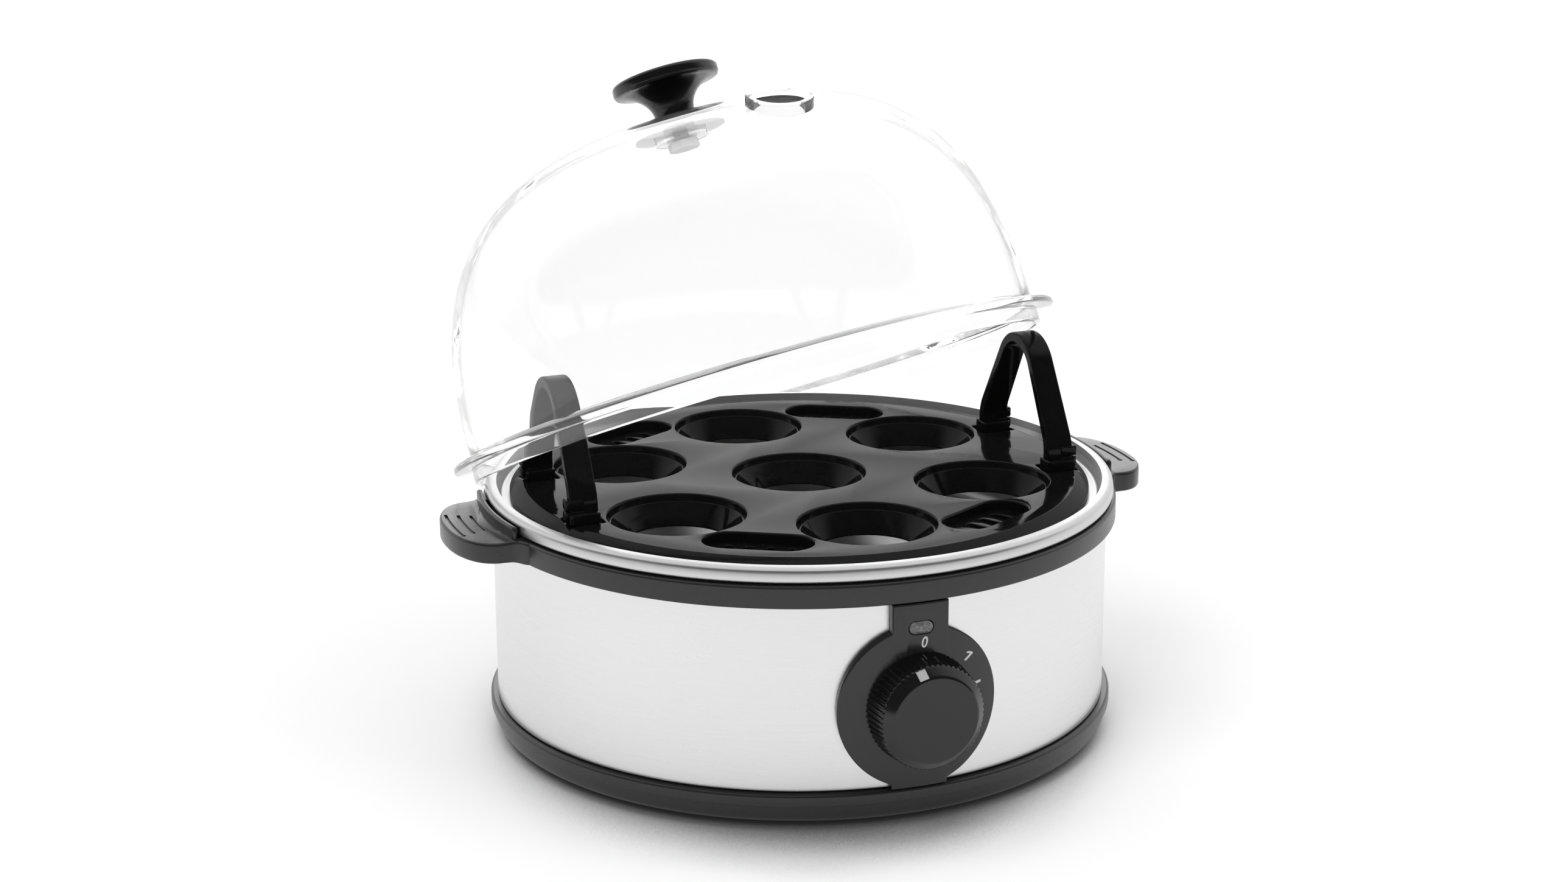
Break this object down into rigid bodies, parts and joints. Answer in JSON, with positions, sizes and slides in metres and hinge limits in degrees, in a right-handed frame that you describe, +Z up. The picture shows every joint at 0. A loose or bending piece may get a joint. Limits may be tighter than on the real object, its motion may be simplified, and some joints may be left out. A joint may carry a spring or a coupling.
{
  "type": "egg boiler",
  "caption": "Round countertop egg boiler with a steel wall, front dial, seated egg tray with two upright handles and a clear domed lid that leans open.",
  "frame": {"origin": "on the boiler's axis, in the plane that the four feet stand on", "axes": "+Z up the boiler's axis, -Y out of the control panel, +X towards the right ear and right tray handle"},
  "size_m": [0.1804, 0.1796, 0.1608],
  "materials": {
    "black_plastic": "fine matte moulded plastic",
    "gloss_black": "high gloss moulded plastic",
    "knob_black": "satin moulded plastic",
    "brushed_wall": "brushed round the wall",
    "bowl_steel": "pressed, satin polished",
    "cast_aluminium": "as cast",
    "zinc_steel": "zinc plated",
    "rubber": "moulded",
    "silicone": "translucent grey",
    "clear_plastic": "clear and polished",
    "lens_plastic": "clear lens over a lamp",
    "white_plastic": "satin",
    "neon_glass": "small neon lamp"
  },
  "bodies": {
    "housing": {"base_moulding": "black_plastic", "base_screw_1": "zinc_steel", "base_screw_2": "zinc_steel", "base_screw_3": "zinc_steel", "base_screw_4": "zinc_steel", "bowl_seal": "silicone", "bracket_screw_left": "zinc_steel", "bracket_screw_right": "zinc_steel", "clamp_nut": "zinc_steel", "control_panel": "black_plastic", "cord_gland": "black_plastic", "element_clamp": "zinc_steel", "heater_plate": "cast_aluminium", "heating_element": "zinc_steel", "indicator_lamp": "neon_glass", "lamp_lens": "lens_plastic", "regulator_body": "black_plastic", "regulator_bracket": "zinc_steel", "regulator_nut": "zinc_steel", "rubber_foot_1": "rubber", "rubber_foot_2": "rubber", "rubber_foot_3": "rubber", "rubber_foot_4": "rubber", "terminal_block": "white_plastic", "terminal_screw": "zinc_steel", "thermal_fuse": "white_plastic", "thermostat": "zinc_steel", "upper_collar": "black_plastic", "wall_shell": "brushed_wall", "water_bowl": "bowl_steel"},
    "dial": {"dial_knob": "black_plastic", "dial_pointer": "white_plastic", "regulator_shaft": "zinc_steel"},
    "tray": {"egg_tray": "gloss_black", "tray_handle_left": "gloss_black", "tray_handle_right": "gloss_black", "handle_screw_1": "zinc_steel", "handle_screw_2": "zinc_steel", "handle_screw_3": "zinc_steel", "handle_screw_4": "zinc_steel"},
    "lid": {"lid_dome": "clear_plastic", "lid_knob": "knob_black", "knob_washer": "knob_black", "inner_washer": "zinc_steel", "lid_screw": "zinc_steel"}
  },
  "joints": [
    {"name": "dial_turn", "type": "hinge", "parent": "housing", "child": "dial", "pos_m": [0, -0.08, 0.0282], "axis": [0, 1, 0], "range_deg": [0, 290]},
    {"name": "tray_lift", "type": "slide", "parent": "housing", "child": "tray", "axis": [0, 0, 1], "range_m": [0, 0.09]},
    {"name": "lid_lift", "type": "slide", "parent": "tray", "child": "lid", "axis": [0, 0, 1], "range_m": [0, 0.12]}
  ]
}
